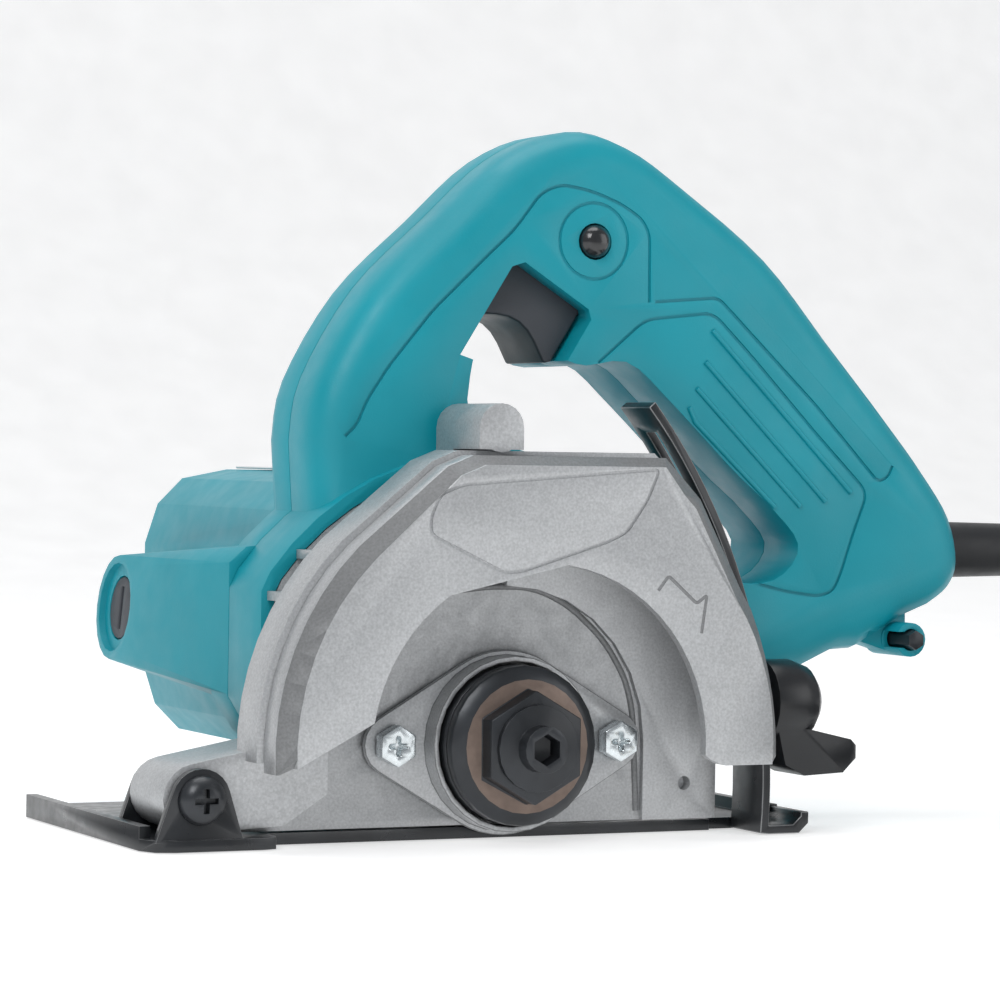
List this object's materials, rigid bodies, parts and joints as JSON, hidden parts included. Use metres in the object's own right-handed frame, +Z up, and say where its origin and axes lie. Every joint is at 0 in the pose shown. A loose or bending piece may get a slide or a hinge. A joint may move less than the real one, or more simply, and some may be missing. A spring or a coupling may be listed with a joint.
{
  "type": "trim saw",
  "caption": "Hand-held trim saw with a tilting body on a steel base plate, a blade case on the left of a gear housing and motor, and a closed D handle with a cord.",
  "frame": {"origin": "middle of the saw's footprint on the ground, measured without the cord", "axes": "+Z up; +X from the front of the base to the cord end, along the cut; +Y from the wheel side to the motor side, along the spindle"},
  "size_m": [0.3309, 0.2521, 0.1578],
  "materials": {
    "housing_plastic": "fine matte moulded nylon, teal",
    "dark_plastic": "dark grey moulded plastic",
    "black_plastic": "black moulded plastic with a soft sheen",
    "fan_plastic": "dark grey moulded nylon",
    "cast_aluminium": "die-cast aluminium, fine satin",
    "black_steel": "black satin coating over steel, bright at the edges",
    "hardware_black": "black oxide on machined steel",
    "bare_steel": "ground steel",
    "zinc_steel": "bright zinc plating",
    "bronzed_steel": "bronze-brown phosphate on turned steel",
    "copper": "varnished copper winding on a steel core",
    "iron_laminations": "varnished iron laminations",
    "carbon": "pressed carbon block",
    "brass": "bare brass",
    "rubber": "black moulded rubber",
    "cord_rubber": "black rubber cord sheath",
    "insulation": "off-white wire insulation",
    "plate_foil": "blank white plate"
  },
  "bodies": {
    "base": {"base_plate": "black_steel", "depth_guide": "black_steel", "pivot_screw": "hardware_black", "pivot_nut": "zinc_steel", "cord_coil": "cord_rubber", "cord_tail": "cord_rubber", "plug": "black_plastic", "plug_pin_1": "brass", "plug_pin_2": "brass"},
    "saw_body": {"blade_case": "cast_aluminium", "gear_housing": "cast_aluminium", "case_screw_front": "zinc_steel", "case_screw_rear": "zinc_steel", "bearing_retainer": "cast_aluminium", "retainer_bolt_front": "zinc_steel", "retainer_bolt_rear": "zinc_steel", "spindle_front_bearing": "bare_steel", "spindle_rear_bearing": "bare_steel", "gear_cover": "cast_aluminium", "armature_front_bearing": "bare_steel", "armature_tail_bearing": "bare_steel", "fan_baffle": "black_plastic", "field_core": "iron_laminations", "brush_holder_front": "brass", "carbon_brush_front": "carbon", "brush_spring_front": "bare_steel", "brush_cap_front": "dark_plastic", "brush_holder_rear": "brass", "carbon_brush_rear": "carbon", "brush_spring_rear": "bare_steel", "brush_cap_rear": "dark_plastic", "handle_cover": "housing_plastic", "motor_housing": "housing_plastic", "handle_screw_1": "hardware_black", "handle_screw_2": "hardware_black", "handle_screw_3": "hardware_black", "handle_screw_4": "hardware_black", "handle_screw_5": "hardware_black", "rating_plate": "plate_foil", "switch_body": "black_plastic", "cord_clamp": "dark_plastic", "inner_lead": "insulation", "lever_bolt": "zinc_steel", "cord_guard": "rubber", "cord": "cord_rubber"},
    "spindle": {"spindle": "bare_steel", "spindle_gear": "bare_steel", "inner_flange": "hardware_black", "outer_flange": "bronzed_steel", "flange_bolt": "hardware_black"},
    "armature": {"armature_shaft": "bare_steel", "armature_pinion": "bare_steel", "armature_core": "copper", "commutator": "copper", "cooling_fan": "fan_plastic"},
    "depth_lever": {"depth_lever": "black_plastic"},
    "trigger": {"trigger": "dark_plastic"},
    "lock_button": {"lock_button": "black_plastic"},
    "hex_key": {"hex_key": "hardware_black"}
  },
  "joints": [
    {"name": "depth_tilt", "type": "hinge", "parent": "base", "child": "saw_body", "pos_m": [-0.0945, 0, 0.0108], "axis": [0, -1, 0], "range_deg": [0, 24]},
    {"name": "spindle_spin", "type": "hinge", "parent": "saw_body", "child": "spindle", "pos_m": [-0.0215, 0, 0.021], "axis": [0, 1, 0], "continuous": true},
    {"name": "armature_spin", "type": "hinge", "parent": "saw_body", "child": "armature", "pos_m": [-0.02688, 0, 0.04181], "axis": [0, 1, 0], "continuous": true},
    {"name": "depth_lever_turn", "type": "hinge", "parent": "saw_body", "child": "depth_lever", "pos_m": [0, -0.05555, 0.02938], "axis": [-1, 0, 0], "range_deg": [0, 80]},
    {"name": "trigger_press", "type": "slide", "parent": "saw_body", "child": "trigger", "axis": [0.5299, 0, 0.848], "range_m": [0, 0.005], "stiffness_N_per_m": 600},
    {"name": "lock_button_press", "type": "slide", "parent": "saw_body", "child": "lock_button", "axis": [0, 1, 0], "range_m": [0, 0.003], "stiffness_N_per_m": 500},
    {"name": "hex_key_draw", "type": "slide", "parent": "saw_body", "child": "hex_key", "axis": [0, 1, 0], "range_m": [0, 0.06]}
  ],
  "couplings": [
    {"joint": "armature_spin", "follows": "spindle_spin", "ratio": -2.3077}
  ]
}
